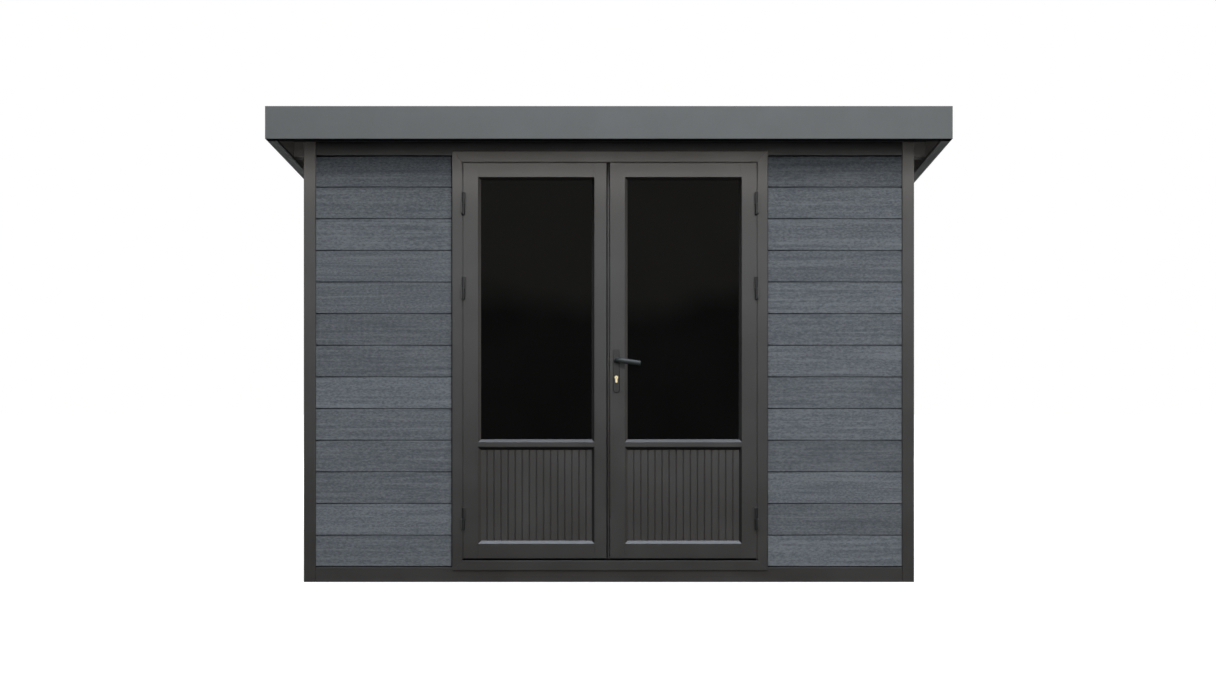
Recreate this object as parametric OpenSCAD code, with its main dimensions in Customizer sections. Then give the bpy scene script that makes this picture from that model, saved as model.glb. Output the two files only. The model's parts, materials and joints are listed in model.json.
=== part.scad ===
// Garden shed with a mono-pitch roof and a pair of half-glazed doors.
// Millimetres, +Z up. The front looks along -Y. The origin lies on the ground, at the
// centre of the base frame.

/* [Body] */
// Width of the body, over the corner posts
body_w = 2890; // [2300:10:3600]
// Depth of the body, over the corner posts
body_d = 2400; // [1500:10:3600]
// Side of the square corner posts
post_w = 57; // [45:1:90]
// Radius of the long edges of a corner post
post_r = 4; // [1:1:10]
// Thickness of the cladding walls
wall_t = 30; // [18:1:45]
// Depth of the cladding face behind the post face
wall_recess = 8; // [2:1:12]
// Height of the base rails
base_h = 70; // [50:1:120]
// Height of one cladding board
board_h = 150; // [100:5:200]
// Number of boards in the front wall
boards_front = 13; // [12:1:16]
// Height of the top rails, at the face of the front posts
top_rail_h = 63; // [40:1:120]

/* [Floor] */
// Thickness of the floor boards
floor_t = 24; // [15:1:40]
// Width of a floor joist
joist_w = 45; // [30:1:80]
// Number of floor joists
joist_n = 5; // [3:1:8]

/* [Roof] */
// Fall of the roof from front to back, in degrees
roof_pitch = 5.6; // [2:0.1:8]
// Reach of the roof in front of the posts
overhang_front = 330; // [150:5:450]
// Reach of the roof beyond the sides and the back
overhang_side = 93; // [70:1:160]
// Distance of the roof's middle to the right of the middle of the body
roof_shift = 4; // [-20:1:20]
// Thickness of the folded fascia sheet
fascia_t = 3; // [2:1:5]
// Width of the fascia's bottom flange
fascia_bottom_w = 40; // [25:1:60]
// Width of the fascia's top flange
fascia_top_w = 26; // [15:1:50]
// Height of the roof rails, outriggers and purlins
roof_rail_h = 70; // [50:1:80]
// Width of the roof rails along the edges
roof_rail_w = 40; // [25:1:60]
// Dark slot between the bottom flange and the roof rail
fascia_slot = 9; // [4:1:20]
// Clearance between the deck's ribs and the fascia's top flange
fascia_clear = 10.2; // [5:0.1:40]
// Gap where two fascia sheets meet in a corner
fascia_seam = 0.5; // [0.2:0.1:2]
// Thickness of the roof deck, without its ribs
deck_t = 30; // [15:1:40]
// Thickness of the sealing film between the deck and what carries it
deck_seat = 0.1; // [0.1:0.1:0.8]
// Height of the deck's ribs
rib_h = 20; // [8:1:28]
// Width of the top of a rib
rib_top_w = 24; // [12:1:40]
// Width of the foot of a rib
rib_foot_w = 52; // [44:1:80]
// Spacing of the ribs
rib_pitch = 250; // [150:10:400]
// Width of a purlin
purlin_w = 45; // [30:1:80]
// Number of purlins between the side walls
purlin_n = 2; // [1:1:4]
// Number of outriggers along each side
outrigger_n = 3; // [2:1:6]

/* [Door frame] */
// Width of the door frame, over its face
frame_w = 1490; // [1240:10:1800]
// Distance of the doorway's middle to the right of the middle of the front
door_x = 5; // [-60:1:60]
// Width of a jamb's face
jamb_w = 47; // [45:1:80]
// Height of the head's face
head_h = 50; // [35:1:60]
// Height of the sill's face
sill_h = 46; // [40:1:60]
// How far the frame's face laps over the walls beside it
lap_side = 15; // [8:1:25]
// How far the frame's face laps over the top rail
lap_top = 17; // [8:1:25]
// How far the frame's face laps over the base rail
lap_bottom = 13; // [8:1:30]
// How far the door frame stands proud of the posts
frame_proud = 12; // [6:1:20]
// Depth of the frame behind the face of the posts
frame_depth = 65; // [60:1:90]
// Width of the stop behind the doors
stop_w = 16; // [10:1:25]
// Height of the stop on the sill
sill_stop_h = 14; // [8:1:20]

/* [Doors] */
// Thickness of a door leaf
leaf_t = 50; // [40:1:52]
// Clearance round a door leaf
leaf_gap = 5; // [5:1:8]
// Clearance under a door leaf
leaf_foot_gap = 9; // [5:1:12]
// Offset of the joint between the leaves from the middle of the doorway
meeting_x = -8; // [-20:1:20]
// Width of the meeting strip on the left leaf
strip_w = 9; // [6:1:20]
// Depth of the meeting strip
strip_t = 36; // [15:1:40]
// Depth of the strip's face behind the leaf's face
strip_recess = 6; // [2:1:10]
// Gap between the meeting strip and the right leaf
meeting_gap = 8; // [8:1:12]
// Width of the stiles on the hinge side
hinge_stile_w = 70; // [50:1:100]
// Width of the left leaf's meeting stile
meeting_stile_w = 57; // [45:1:100]
// Width of the right leaf's lock stile
lock_stile_w = 70; // [56:1:110]
// Height of the top rail of a leaf
leaf_top_h = 67; // [50:1:100]
// Height of the bottom rail of a leaf
leaf_bottom_h = 71; // [50:1:150]
// Height of the rail between glass and panel
leaf_mid_h = 25; // [20:1:80]
// Height of the lower panel's opening
panel_h = 455; // [300:5:700]
// Width and depth of the bevelled glazing beads
bead_w = 13; // [8:1:20]
// Setback of a bead's end from the joint with the next bead
bead_seam = 0.2; // [0.1:0.1:0.5]
// Thickness of the glazing and of the lower panel
pane_t = 24; // [16:1:26]
// Spacing of the grooves in the lower panel
groove_pitch = 33.5; // [20:0.5:60]
// Width of a groove
groove_w = 6; // [3:0.5:12]
// Depth of a groove
groove_t = 4; // [1:0.5:7]

/* [Hinges] */
// Radius of a hinge barrel
barrel_r = 7; // [6:0.5:9]
// Length of a hinge barrel
barrel_l = 106; // [60:1:150]
// Radius of a hinge pin
pin_r = 4; // [2.5:0.5:5]
// Clearance round a hinge pin
pin_gap = 0.3; // [0.2:0.1:0.6]
// Gap between the two knuckles of a hinge
knuckle_gap = 1; // [0.5:0.5:3]
// Distance of the hinge axis from the doors' face
hinge_out = 10; // [10:0.5:14]
// Distance of the hinge axis from the edge of the frame's face
hinge_in = 7; // [5.5:0.5:9]
// Width of the foot that holds a knuckle
knuckle_foot_w = 8; // [5:0.5:12]
// Rise of the lowest hinge's middle above the leaf's foot
hinge_low_rise = 189; // [120:1:300]
// Drop of the middle hinge's middle below the leaf's top
hinge_mid_drop = 592; // [420:1:640]
// Drop of the highest hinge's middle below the leaf's top
hinge_high_drop = 193; // [120:1:300]

/* [Lock and handle] */
// Height of the lever's axis above the ground
lever_z = 1048; // [900:1:1150]
// Distance of the lever's axis from the lock stile's edge
backset = 30; // [25:1:45]
// Width of a lock plate
plate_w = 28; // [26:1:44]
// Height of a lock plate
plate_h = 203; // [190:1:260]
// Radius of a lock plate's upper corners
plate_top_r = 4; // [2:0.5:12]
// Thickness of a lock plate
plate_t = 8; // [4:1:12]
// Height of the plate above the lever's axis
plate_above = 52; // [30:1:70]
// Radius of the lever's neck
neck_r = 9; // [7:0.5:11]
// Running clearance of the lever's neck
neck_gap = 0.3; // [0.2:0.1:0.6]
// Radius of the lever
lever_r = 12; // [8:0.5:14]
// Length of the lever, from its axis to the middle of its round end
lever_l = 106; // [80:1:140]
// Distance of the lever's centre line from the door's face
lever_out = 45; // [40:1:70]
// Droop of the lever at rest, in degrees
lever_droop = 7; // [0:1:10]
// Radius of the spindle
spindle_r = 5; // [4:0.5:6]
// Distance from the lever's axis down to the lock cylinder's axis
lock_drop = 80; // [72:1:100]
// Radius of the lock cylinder's round part
lock_r = 8.5; // [8:0.5:9]
// Width of the lock cylinder's tail
lock_tail_w = 10; // [8:0.5:12]
// Height of the lock cylinder
lock_h = 33; // [28:1:36]
// How far the lock cylinder stands proud of its plates
lock_proud = 3; // [1:1:5]
// Clearance round the lock cylinder
lock_gap = 0.4; // [0.2:0.1:1]

/* [Hidden] */

// Body planes
half_w = body_w / 2;
front_y = -body_d / 2;
back_y = body_d / 2;
post_in_x = half_w - post_w;
front_in_y = front_y + post_w;
back_in_y = back_y - post_w;
wall_top_z = base_h + boards_front * board_h;

// Roof planes. The deck's underside is the reference plane of the roof.
fall = tan(roof_pitch);
deck_z = wall_top_z + top_rail_h;
roof_x = half_w + overhang_side;
roof_front_y = front_y - overhang_front;
roof_back_y = back_y + overhang_side;
rail_low = -roof_rail_h;
fascia_low = rail_low - fascia_slot - fascia_t;
fascia_high = deck_seat + (deck_t + rib_h) / cos(roof_pitch) + fascia_clear + fascia_t;
roof_in_x = roof_x - fascia_t;
rail_in_x = roof_in_x - roof_rail_w;
roof_front_in_y = roof_front_y + fascia_t;
roof_back_in_y = roof_back_y - fascia_t;
rib_n = floor((2 * roof_in_x - rib_foot_w) / rib_pitch / 2);
margin = 100;

// Level foot of the back top rail
back_rail_z = deck_z - fall * body_d - top_rail_h;

// Door frame planes
face_y = front_y - frame_proud;
frame_back_y = front_y + frame_depth;
frame_x = frame_w / 2;
frame_in_x = frame_x - jamb_w;
frame_body_x = frame_x - lap_side;
frame_low_z = base_h - lap_bottom;
frame_high_z = wall_top_z + lap_top;
sill_z = frame_low_z + sill_h;
head_z = frame_high_z - head_h;
stop_y = face_y + leaf_t + leaf_gap;

// Door leaf planes
leaf_low_z = sill_z + leaf_foot_gap;
leaf_high_z = head_z - leaf_gap;
leaf_x = frame_in_x - leaf_gap;
left_edge_x = meeting_x - (strip_w + meeting_gap) / 2;
right_edge_x = meeting_x + (strip_w + meeting_gap) / 2;
leaf_back_y = face_y + leaf_t;
panel_low_z = leaf_low_z + leaf_bottom_h;
panel_high_z = panel_low_z + panel_h;
glass_low_z = panel_high_z + leaf_mid_h;
glass_high_z = leaf_high_z - leaf_top_h;
pane_y = face_y + bead_w;
pane_back_y = pane_y + pane_t;
left_open = [-leaf_x + hinge_stile_w, left_edge_x - meeting_stile_w];
right_open = [right_edge_x + lock_stile_w, leaf_x - hinge_stile_w];

// Hinges and lock
hinge_x = frame_in_x - hinge_in;
hinge_y = face_y - hinge_out;
hinge_zs = [leaf_low_z + hinge_low_rise, leaf_high_z - hinge_mid_drop, leaf_high_z - hinge_high_drop];
lock_x = right_edge_x + backset;
lock_z = lever_z - lock_drop;
leaf_mid_y = face_y + leaf_t / 2;

// Colours
frame_colour = "#4a4a4a";
board_colour = "#5c6268";
fascia_colour = "#6c7073";
glass_colour = "#15181a";
dark_colour = "#2b2b2d";
brass_colour = "#c9a55a";
floor_colour = "#6b6459";

// Height of the deck's underside at a place along the depth
function deck_at(y) = deck_z - fall * (y - front_y);

// A block between two corners
module block(low, high) {
    translate(low)
        cube(high - low);
}

// Extrudes a [y, z] outline along X, from x0 to x1
module along_x(x0, x1) {
    translate([x0, 0, 0])
        rotate([90, 0, 90])
            linear_extrude(x1 - x0)
                children();
}

// Extrudes an [x, z] outline along Y, from y0 to y1
module along_y(y0, y1) {
    translate([0, y1, 0])
        rotate([90, 0, 0])
            linear_extrude(y1 - y0)
                children();
}

// A bar in the slope of the roof, with upright ends, between two heights from the deck's underside
module roof_bar(x0, x1, y0, y1, low, high) {
    along_x(x0, x1)
        polygon([
            [y0, deck_at(y0) + low],
            [y1, deck_at(y1) + low],
            [y1, deck_at(y1) + high],
            [y0, deck_at(y0) + high]
        ]);
}

// A bar with a level foot at z, up to a height from the deck's underside
module bar_to_roof(x0, x1, y0, y1, z, high) {
    along_x(x0, x1)
        polygon([[y0, z], [y1, z], [y1, deck_at(y1) + high], [y0, deck_at(y0) + high]]);
}

// Rectangle with round corners, from the origin
module round_rect(w, h, r) {
    translate([r, 0])
        square([w - 2 * r, h]);
    translate([0, r])
        square([w, h - 2 * r]);
    for (x = [r, w - r], y = [r, h - r])
        translate([x, y])
            circle(r, $fn = 32);
}

// A child and its mirror image in the YZ plane
module both_sides() {
    children();
    mirror([1, 0, 0])
        children();
}

// Moves its children from the middle of the front to the middle of the doorway
module at_door() {
    translate([door_x, 0, 0])
        children();
}

// Moves its children from the middle of the body to the middle of the roof
module at_roof() {
    translate([roof_shift, 0, 0])
        children();
}

// ---- Base and floor ----

module base_rail_front() {
    color(frame_colour)
        block([-post_in_x, front_y, 0], [post_in_x, front_in_y, base_h]);
}

module base_rail_back() {
    color(frame_colour)
        block([-post_in_x, back_in_y, 0], [post_in_x, back_y, base_h]);
}

module base_rails_side() {
    color(frame_colour)
        both_sides()
            block([post_in_x, front_in_y, 0], [half_w, back_in_y, base_h]);
}

module floor() {
    color(floor_colour)
        block([-post_in_x, front_in_y, base_h - floor_t], [post_in_x, back_in_y, base_h]);
}

module floor_joists() {
    spacing = (2 * post_in_x - joist_w) / (joist_n - 1);
    color(frame_colour)
        for (i = [0 : joist_n - 1])
            translate([i * spacing - post_in_x, 0, 0])
                block([0, front_in_y, 0], [joist_w, back_in_y, base_h - floor_t]);
}

// ---- Posts, walls and top rails ----

// Corner post in the front left or back left corner, cut to the slope of the roof
module post(y) {
    intersection() {
        translate([-half_w, y, 0])
            linear_extrude(deck_z)
                round_rect(post_w, post_w, post_r);
        bar_to_roof(-half_w, -post_in_x, y, y + post_w, 0, 0);
    }
}

module post_front_left() {
    color(frame_colour)
        post(front_y);
}

module post_front_right() {
    color(frame_colour)
        mirror([1, 0, 0])
            post(front_y);
}

module post_back_left() {
    color(frame_colour)
        post(back_in_y);
}

module post_back_right() {
    color(frame_colour)
        mirror([1, 0, 0])
            post(back_in_y);
}

module wall_front_left() {
    wall_y = front_y + wall_recess;
    color(board_colour)
        block([-post_in_x, wall_y, base_h], [door_x - frame_body_x, wall_y + wall_t, wall_top_z]);
}

module wall_front_right() {
    wall_y = front_y + wall_recess;
    color(board_colour)
        block([door_x + frame_body_x, wall_y, base_h], [post_in_x, wall_y + wall_t, wall_top_z]);
}

module wall_left() {
    wall_x = wall_recess - half_w;
    color(board_colour)
        bar_to_roof(wall_x, wall_x + wall_t, front_in_y, back_in_y, base_h, -top_rail_h);
}

module wall_right() {
    color(board_colour)
        mirror([1, 0, 0])
            wall_left();
}

module wall_back() {
    wall_y = back_y - wall_recess;
    color(board_colour)
        block([-post_in_x, wall_y - wall_t, base_h], [post_in_x, wall_y, back_rail_z]);
}

module top_rail_front() {
    color(frame_colour)
        bar_to_roof(-post_in_x, post_in_x, front_y, front_in_y, wall_top_z, 0);
}

module top_rail_back() {
    color(frame_colour)
        bar_to_roof(-post_in_x, post_in_x, back_in_y, back_y, back_rail_z, 0);
}

module top_rails_side() {
    color(frame_colour)
        both_sides()
            roof_bar(post_in_x, half_w, front_in_y, back_in_y, -top_rail_h, 0);
}

// ---- Roof ----

module outriggers() {
    spacing = (body_d - post_w) / (outrigger_n - 1);
    color(frame_colour)
        for (i = [0 : outrigger_n - 1]) {
            y = front_y + i * spacing;
            roof_bar(roof_shift - rail_in_x, -half_w, y, y + post_w, rail_low, 0);
            roof_bar(half_w, roof_shift + rail_in_x, y, y + post_w, rail_low, 0);
        }
}

module roof_rails_side() {
    color(frame_colour)
        at_roof()
            both_sides()
                roof_bar(rail_in_x, roof_in_x, roof_front_in_y, roof_back_in_y, rail_low, 0);
}

module roof_rails_cross() {
    front_edge = roof_front_in_y;
    back_edge = roof_back_in_y - roof_rail_w;
    spacing = (back_in_y - front_in_y - purlin_w) / (purlin_n + 1);
    color(frame_colour) {
        at_roof()
            for (y = [front_edge, back_edge])
                roof_bar(-rail_in_x, rail_in_x, y, y + roof_rail_w, rail_low, 0);
        for (i = [1 : purlin_n]) {
            y = front_in_y + i * spacing;
            roof_bar(-post_in_x, post_in_x, y, y + purlin_w, rail_low, 0);
        }
    }
}

// Outline of the deck across the slope
module deck_outline() {
    translate([-roof_in_x, 0])
        square([2 * roof_in_x, deck_t]);
    for (i = [-rib_n : rib_n])
        translate([i * rib_pitch, deck_t])
            polygon([
                [-rib_foot_w / 2, 0],
                [rib_foot_w / 2, 0],
                [rib_top_w / 2, rib_h],
                [-rib_top_w / 2, rib_h]
            ]);
}

module roof_deck() {
    length = (roof_back_y - roof_front_y) / cos(roof_pitch) + 2 * margin;
    color(fascia_colour)
        at_roof()
            intersection() {
                translate([0, roof_front_in_y, deck_at(roof_front_in_y) + deck_seat])
                    rotate([-roof_pitch, 0, 0])
                        along_y(-margin, length)
                            deck_outline();
                block([-roof_x, roof_front_in_y, 0], [roof_x, roof_back_in_y, 2 * deck_z]);
            }
}

// Folded sheet along the front or the back; out_y is its outer face, and way is 1 or -1 inwards
module fascia_across(out_y, way) {
    color(fascia_colour) {
        roof_span(out_y, way * fascia_t, fascia_low, fascia_high);
        roof_span(out_y, way * fascia_bottom_w, fascia_low, fascia_low + fascia_t);
        roof_span(out_y, way * fascia_top_w, fascia_high - fascia_t, fascia_high);
    }
}

// A bar over the whole width of the roof, reaching from y by a signed depth
module roof_span(y, reach, low, high) {
    roof_bar(-roof_x, roof_x, min(y, y + reach), max(y, y + reach), low, high);
}

// Part of the left sheet, w wide, that stops short of the roof's front and back by end
module fascia_strip(w, end, low, high) {
    roof_bar(-roof_x, w - roof_x, roof_front_y + end, roof_back_y - end, low, high);
}

// Folded sheet along the left side, between the front and back ones
module fascia_side() {
    web_end = fascia_t + fascia_seam;
    low_end = fascia_bottom_w + fascia_seam;
    top_end = fascia_top_w + fascia_seam;
    color(fascia_colour) {
        fascia_strip(fascia_t, web_end, fascia_low + web_end, fascia_high - web_end);
        fascia_strip(fascia_t, max(low_end, top_end), fascia_low, fascia_high);
        fascia_strip(fascia_bottom_w, low_end, fascia_low, fascia_low + fascia_t);
        fascia_strip(fascia_top_w, top_end, fascia_high - fascia_t, fascia_high);
    }
}

module fascia_front() {
    at_roof()
        fascia_across(roof_front_y, 1);
}

module fascia_back() {
    at_roof()
        fascia_across(roof_back_y, -1);
}

module fascia_left() {
    at_roof()
        fascia_side();
}

module fascia_right() {
    at_roof()
        mirror([1, 0, 0])
            fascia_side();
}

// ---- Door frame ----

// Right jamb: mitred face, body in the wall and stop behind the leaf
module jamb() {
    along_y(face_y, front_y)
        polygon([
            [frame_x, frame_low_z],
            [frame_x, frame_high_z],
            [frame_in_x, head_z],
            [frame_in_x, sill_z]
        ]);
    block([frame_body_x, front_y, base_h], [frame_x, front_y + wall_recess, wall_top_z]);
    block([frame_in_x, front_y, base_h], [frame_body_x, frame_back_y, wall_top_z]);
    block([frame_in_x - stop_w, stop_y, sill_z], [frame_in_x, frame_back_y, head_z]);
}

module door_jambs() {
    color(frame_colour)
        at_door()
            both_sides()
                jamb();
}

// Head of the door frame, between the jambs
module head() {
    along_y(face_y, front_y)
        polygon([
            [-frame_x, frame_high_z],
            [-frame_in_x, head_z],
            [frame_in_x, head_z],
            [frame_x, frame_high_z]
        ]);
    block([-frame_in_x, front_y, head_z], [frame_in_x, frame_back_y, wall_top_z]);
    stop_x = frame_in_x - stop_w;
    block([-stop_x, stop_y, head_z - stop_w], [stop_x, frame_back_y, head_z]);
}

module door_head() {
    color(frame_colour)
        at_door()
            head();
}

// Sill of the door frame, between the jambs
module sill() {
    along_y(face_y, front_y)
        polygon([
            [-frame_x, frame_low_z],
            [frame_x, frame_low_z],
            [frame_in_x, sill_z],
            [-frame_in_x, sill_z]
        ]);
    block([-frame_in_x, front_y, base_h], [frame_in_x, frame_back_y, sill_z]);
    stop_x = frame_in_x - stop_w;
    block([-stop_x, stop_y, sill_z], [stop_x, frame_back_y, sill_z + sill_stop_h]);
}

module door_sill() {
    color(frame_colour)
        at_door()
            sill();
}

// ---- Door leaves ----

// Upright bar of a leaf
module stile(x0, x1) {
    block([x0, face_y, leaf_low_z], [x1, leaf_back_y, leaf_high_z]);
}

// The three level bars of a leaf, across an opening [x0, x1]
module leaf_rails(open) {
    color(frame_colour)
        for (z = [
            [leaf_low_z, panel_low_z],
            [panel_high_z, glass_low_z],
            [glass_high_z, leaf_high_z]
        ])
            block([open[0], face_y, z[0]], [open[1], leaf_back_y, z[1]]);
}

// Bevelled beads round an opening, mitred in the corners, with their feet on the pane
module bead_ring(open, z0, z1) {
    w = open[1] - open[0];
    h = z1 - z0;
    translate([open[0], face_y, z0]) {
        bead_bar(w);
        translate([w, 0, h])
            rotate([0, 180, 0])
                bead_bar(w);
        translate([0, 0, h])
            rotate([0, 90, 0])
                bead_bar(h);
        translate([w, 0, 0])
            rotate([0, -90, 0])
                bead_bar(h);
    }
}

// One bead along X, with its back edge at the origin and its bevel up and forwards
module bead_bar(length) {
    mitre = bead_seam + bead_w;
    intersection() {
        along_x(0, length)
            polygon([[0, 0], [bead_w, 0], [bead_w, bead_w]]);
        along_y(0, bead_w)
            polygon([
                [bead_seam, 0],
                [length - bead_seam, 0],
                [length - mitre, bead_w],
                [mitre, bead_w]
            ]);
    }
}

// Square beads round an opening on the inside of the leaf, the upright ones between the level ones
module inner_beads(open, z0, z1) {
    low = z0 + bead_w;
    high = z1 - bead_w;
    for (z = [z0, high])
        block([open[0], pane_back_y, z], [open[1], leaf_back_y, z + bead_w]);
    for (x = [open[0], open[1] - bead_w])
        block([x, pane_back_y, low + bead_seam], [x + bead_w, leaf_back_y, high - bead_seam]);
}

module leaf_beads(open) {
    color(frame_colour)
        for (z = [[panel_low_z, panel_high_z], [glass_low_z, glass_high_z]]) {
            bead_ring(open, z[0], z[1]);
            inner_beads(open, z[0], z[1]);
        }
}

module leaf_glass(open) {
    color(glass_colour)
        block([open[0], pane_y, glass_low_z], [open[1], pane_back_y, glass_high_z]);
}

// Lower panel with upright grooves on both faces, set out from its middle
module leaf_panel(open) {
    middle = (open[0] + open[1]) / 2;
    reach = (open[1] - open[0]) / 2 - bead_w - groove_w;
    groove_n = floor(reach / groove_pitch);
    color(frame_colour)
        difference() {
            block([open[0], pane_y, panel_low_z], [open[1], pane_back_y, panel_high_z]);
            for (i = [-groove_n : groove_n])
                translate([middle + i * groove_pitch, 0, panel_low_z - 1])
                    linear_extrude(panel_h + 2) {
                        groove_outline(pane_y, groove_t);
                        groove_outline(pane_back_y, -groove_t);
                    }
        }
}

// Plan of one groove, from a face at y into the panel
module groove_outline(y, depth) {
    polygon([
        [-groove_w / 2, y],
        [groove_w / 2, y],
        [groove_w / 6, y + depth],
        [-groove_w / 6, y + depth]
    ]);
}

// ---- Hinges ----

// Lower knuckle of the right door's hinge, with its pin and its foot on the jamb
module frame_knuckle() {
    half = (barrel_l - knuckle_gap) / 2;
    translate([hinge_x, hinge_y, 0]) {
        translate([0, 0, -barrel_l / 2])
            cylinder(half, barrel_r, barrel_r, $fn = 48);
        translate([0, 0, -knuckle_gap])
            cylinder(half, pin_r, pin_r, $fn = 32);
        foot_x = hinge_in - leaf_gap / 2;
        block([foot_x, -pin_r, -barrel_l / 2], [foot_x + knuckle_foot_w, hinge_out, -knuckle_gap / 2]);
    }
}

module frame_hinges() {
    color(dark_colour)
        at_door()
            both_sides()
                for (z = hinge_zs)
                    translate([0, 0, z])
                        frame_knuckle();
}

// Upper knuckle of the right door's hinge, with its foot on the leaf
module leaf_knuckle() {
    half = (barrel_l - knuckle_gap) / 2;
    translate([hinge_x, hinge_y, 0])
        difference() {
            union() {
                translate([0, 0, knuckle_gap / 2])
                    cylinder(half, barrel_r, barrel_r, $fn = 48);
                block([-knuckle_foot_w, -pin_r, knuckle_gap / 2], [0, hinge_out, barrel_l / 2]);
            }
            cylinder(half, pin_r + pin_gap, pin_r + pin_gap, $fn = 32);
        }
}

module leaf_hinges() {
    color(dark_colour)
        for (z = hinge_zs)
            translate([0, 0, z])
                leaf_knuckle();
}

// ---- Left leaf ----

module left_leaf_stiles() {
    color(frame_colour)
        at_door() {
            stile(-leaf_x, left_open[0]);
            stile(left_open[1], left_edge_x);
        }
}

module left_leaf_rails() {
    at_door()
        leaf_rails(left_open);
}

module left_leaf_beads() {
    at_door()
        leaf_beads(left_open);
}

module left_leaf_glass() {
    at_door()
        leaf_glass(left_open);
}

module left_leaf_panel() {
    at_door()
        leaf_panel(left_open);
}

module left_leaf_hinges() {
    at_door()
        mirror([1, 0, 0])
            leaf_hinges();
}

module meeting_strip() {
    strip_y = face_y + strip_recess;
    strip_high = [left_edge_x + strip_w, strip_y + strip_t, leaf_high_z];
    color(frame_colour)
        at_door()
            block([left_edge_x, strip_y, leaf_low_z], strip_high);
}

// ---- Right leaf ----

module right_leaf_stiles() {
    color(frame_colour)
        at_door() {
            stile(right_open[1], leaf_x);
            difference() {
                stile(right_edge_x, right_open[0]);
                lock_bores(face_y - 1, leaf_back_y + 1);
            }
        }
}

module right_leaf_rails() {
    at_door()
        leaf_rails(right_open);
}

module right_leaf_beads() {
    at_door()
        leaf_beads(right_open);
}

module right_leaf_glass() {
    at_door()
        leaf_glass(right_open);
}

module right_leaf_panel() {
    at_door()
        leaf_panel(right_open);
}

module right_leaf_hinges() {
    at_door()
        leaf_hinges();
}

// ---- Lock and handle ----

// Outline of the lock cylinder: round part with its tail below, grown by a clearance
module lock_outline(gap) {
    tail_r = lock_tail_w / 2;
    circle(lock_r + gap, $fn = 48);
    translate([-tail_r - gap, lock_r + tail_r - lock_h])
        square([lock_tail_w + 2 * gap, lock_h - lock_r - tail_r]);
    translate([0, lock_r + tail_r - lock_h])
        circle(tail_r + gap, $fn = 32);
}

// Holes for the lever's neck and the lock cylinder
module lock_bores(y0, y1) {
    along_y(y0, y1) {
        translate([lock_x, lever_z])
            circle(neck_r + neck_gap, $fn = 48);
        translate([lock_x, lock_z])
            lock_outline(lock_gap);
    }
}

// Plate between two depths, with a round foot and small round upper corners
module lock_plate(y0, y1) {
    end_r = plate_w / 2;
    high_z = lever_z + plate_above;
    foot_z = high_z - plate_h + end_r;
    corner_x = end_r - plate_top_r;
    corner_z = high_z - plate_top_r;
    difference() {
        along_y(y0, y1) {
            translate([lock_x, foot_z])
                circle(end_r, $fn = 48);
            translate([lock_x - end_r, foot_z])
                square([plate_w, corner_z - foot_z]);
            translate([lock_x - corner_x, foot_z])
                square([2 * corner_x, high_z - foot_z]);
            for (x = [-corner_x, corner_x])
                translate([lock_x + x, corner_z])
                    circle(plate_top_r, $fn = 24);
        }
        lock_bores(y0 - 1, y1 + 1);
    }
}

module lock_plates() {
    color(dark_colour)
        at_door() {
            lock_plate(face_y - plate_t, face_y);
            lock_plate(leaf_back_y, leaf_back_y + plate_t);
        }
}

module lock_cylinder() {
    reach = plate_t + lock_proud;
    color(brass_colour)
        at_door()
            along_y(face_y - reach, leaf_back_y + reach)
                translate([lock_x, lock_z])
                    lock_outline(0);
}

// Outer lever with its neck: a round bar that droops a little, with round ends
module lever() {
    translate([lock_x, face_y, lever_z]) {
        rotate([90, 0, 0])
            cylinder(lever_out, neck_r, neck_r, $fn = 48);
        translate([0, -lever_out, 0])
            rotate([0, 90 + lever_droop, 0]) {
                sphere(lever_r, $fn = 48);
                cylinder(lever_l, lever_r, lever_r, $fn = 48);
                translate([0, 0, lever_l])
                    sphere(lever_r, $fn = 48);
            }
    }
}

module lever_handle() {
    color(dark_colour)
        at_door() {
            lever();
            translate([0, 2 * leaf_mid_y, 0])
                mirror([0, 1, 0])
                    lever();
            along_y(face_y, leaf_back_y)
                translate([lock_x, lever_z])
                    circle(spindle_r, $fn = 32);
        }
}

base_rail_front();
base_rail_back();
base_rails_side();
floor();
floor_joists();
post_front_left();
post_front_right();
post_back_left();
post_back_right();
wall_front_left();
wall_front_right();
wall_left();
wall_right();
wall_back();
top_rail_front();
top_rail_back();
top_rails_side();
outriggers();
roof_rails_side();
roof_rails_cross();
roof_deck();
fascia_front();
fascia_back();
fascia_left();
fascia_right();
door_jambs();
door_head();
door_sill();
frame_hinges();
left_leaf_stiles();
left_leaf_rails();
left_leaf_beads();
left_leaf_glass();
left_leaf_panel();
left_leaf_hinges();
meeting_strip();
right_leaf_stiles();
right_leaf_rails();
right_leaf_beads();
right_leaf_glass();
right_leaf_panel();
right_leaf_hinges();
lock_plates();
lock_cylinder();
lever_handle();
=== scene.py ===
import json
import math

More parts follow.
